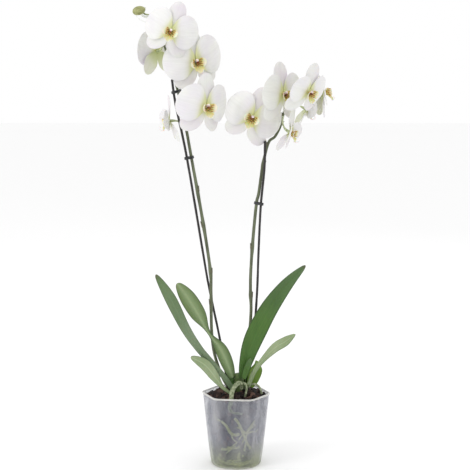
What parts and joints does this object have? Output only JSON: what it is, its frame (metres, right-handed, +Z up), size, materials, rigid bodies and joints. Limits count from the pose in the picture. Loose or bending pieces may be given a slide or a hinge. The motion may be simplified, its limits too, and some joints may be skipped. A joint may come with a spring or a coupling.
{
  "type": "potted orchid",
  "caption": "Moth orchid in a clear hexagonal-rimmed pot: strap leaves, roots and bark, and two staked arching flower spikes with white blooms and a bud.",
  "frame": {"origin": "middle of the pot's flat bottom, which rests on the surface", "axes": "+Z up; -Y is the plant's front, the side most flowers face; +X to the viewer's right of that front"},
  "size_m": [0.3296, 0.1512, 0.7811],
  "materials": {
    "clear_plastic": "gloss",
    "bark": "matte",
    "leaf_green": "satin",
    "leaf_underside": "satin",
    "root_skin": "matte",
    "stem_green": "satin",
    "stake_dark": "matte",
    "clip_plastic": "satin",
    "petal_white": "satin",
    "lip_yellow": "satin",
    "bud_green": "satin"
  },
  "bodies": {
    "root": {"aerial_root_curl": "root_skin", "aerial_root_front": "root_skin", "aerial_root_side": "root_skin", "bark_bed": "bark", "bud_left": "bud_green", "clip_left": "clip_plastic", "clip_left_top": "clip_plastic", "clip_right": "clip_plastic", "crown": "stem_green", "flower_left_1_lip": "lip_yellow", "flower_left_1_petals": "petal_white", "flower_left_1_sepals": "petal_white", "flower_left_2_lip": "lip_yellow", "flower_left_2_petals": "petal_white", "flower_left_2_sepals": "petal_white", "flower_left_3_lip": "lip_yellow", "flower_left_3_petals": "petal_white", "flower_left_3_sepals": "petal_white", "flower_left_4_lip": "lip_yellow", "flower_left_4_petals": "petal_white", "flower_left_4_sepals": "petal_white", "flower_left_5_lip": "lip_yellow", "flower_left_5_petals": "petal_white", "flower_left_5_sepals": "petal_white", "flower_right_1_lip": "lip_yellow", "flower_right_1_petals": "petal_white", "flower_right_1_sepals": "petal_white", "flower_right_2_lip": "lip_yellow", "flower_right_2_petals": "petal_white", "flower_right_2_sepals": "petal_white", "flower_right_3_lip": "lip_yellow", "flower_right_3_petals": "petal_white", "flower_right_3_sepals": "petal_white", "flower_right_4_lip": "lip_yellow", "flower_right_4_petals": "petal_white", "flower_right_4_sepals": "petal_white", "flower_right_5_lip": "lip_yellow", "flower_right_5_petals": "petal_white", "flower_right_5_sepals": "petal_white", "flower_right_6_lip": "lip_yellow", "flower_right_6_petals": "petal_white", "flower_right_6_sepals": "petal_white", "leaf_left_high": "leaf_green", "leaf_left_long": "leaf_green", "leaf_left_small": "leaf_underside", "leaf_right_back": "leaf_green", "leaf_right_big": "leaf_green", "leaf_right_inner": "leaf_underside", "leaf_right_low": "leaf_green", "pot": "clear_plastic", "pot_root_base": "root_skin", "pot_root_cross": "root_skin", "pot_root_down": "root_skin", "pot_root_knot": "root_skin", "pot_root_left": "root_skin", "spike_left": "stem_green", "spike_right": "stem_green", "stake_left": "stake_dark", "stake_right": "stake_dark"}
  },
  "joints": []
}
